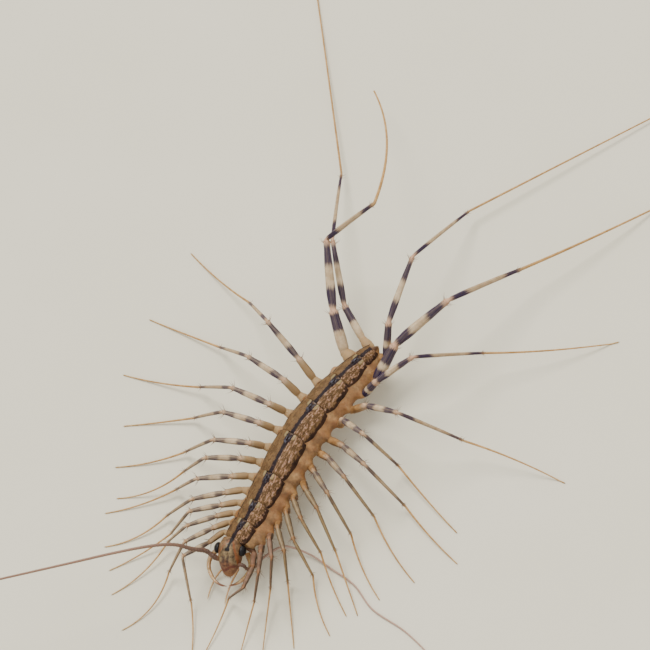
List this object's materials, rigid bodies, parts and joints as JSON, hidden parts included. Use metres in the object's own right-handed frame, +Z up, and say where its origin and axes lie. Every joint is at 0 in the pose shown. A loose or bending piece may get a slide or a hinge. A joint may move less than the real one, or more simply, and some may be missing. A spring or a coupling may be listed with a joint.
{
  "type": "house centipede",
  "caption": "Still life-size model of a house centipede standing on long banded legs, with plated back, raised head feeler and trailing rear whips.",
  "frame": {"origin": "on the floor under the middle of the bounding box, at the level of the feet", "axes": "+Z up, -Y towards the head, +X the animal's left, +Y along the trailing rear legs"},
  "size_m": [0.0644, 0.0908, 0.0127],
  "materials": {
    "plate": "satin, tan with dark stripes",
    "head": "satin, red-brown",
    "eye": "polished, black",
    "leg": "satin, amber with slate bands",
    "antenna": "matte, mauve-brown",
    "mouthpart": "satin, amber"
  },
  "bodies": {
    "root": {"trunk_01": "plate", "trunk_02": "plate", "trunk_03": "plate", "trunk_04": "plate", "trunk_05": "plate", "trunk_06": "plate", "trunk_07": "plate", "trunk_08": "plate", "head": "head", "eye_right": "eye", "eye_left": "eye", "leg_right_01": "leg", "leg_right_02": "leg", "leg_right_03": "leg", "leg_right_04": "leg", "leg_right_05": "leg", "leg_right_06": "leg", "leg_right_07": "leg", "leg_right_08": "leg", "leg_right_09": "leg", "leg_right_10": "leg", "leg_right_11": "leg", "leg_right_12": "leg", "leg_right_13": "leg", "leg_right_14": "leg", "leg_right_15": "leg", "leg_left_01": "leg", "leg_left_02": "leg", "leg_left_03": "leg", "leg_left_04": "leg", "leg_left_05": "leg", "leg_left_06": "leg", "leg_left_07": "leg", "leg_left_08": "leg", "leg_left_09": "leg", "leg_left_10": "leg", "leg_left_11": "leg", "leg_left_12": "leg", "leg_left_13": "leg", "leg_left_14": "leg", "leg_left_15": "leg", "antenna_right_1": "antenna", "antenna_right_2": "antenna", "antenna_left_1": "antenna", "antenna_left_2": "antenna", "forcipule_right": "mouthpart", "forcipule_left": "mouthpart", "palp_right": "mouthpart", "palp_left": "mouthpart"}
  },
  "joints": []
}
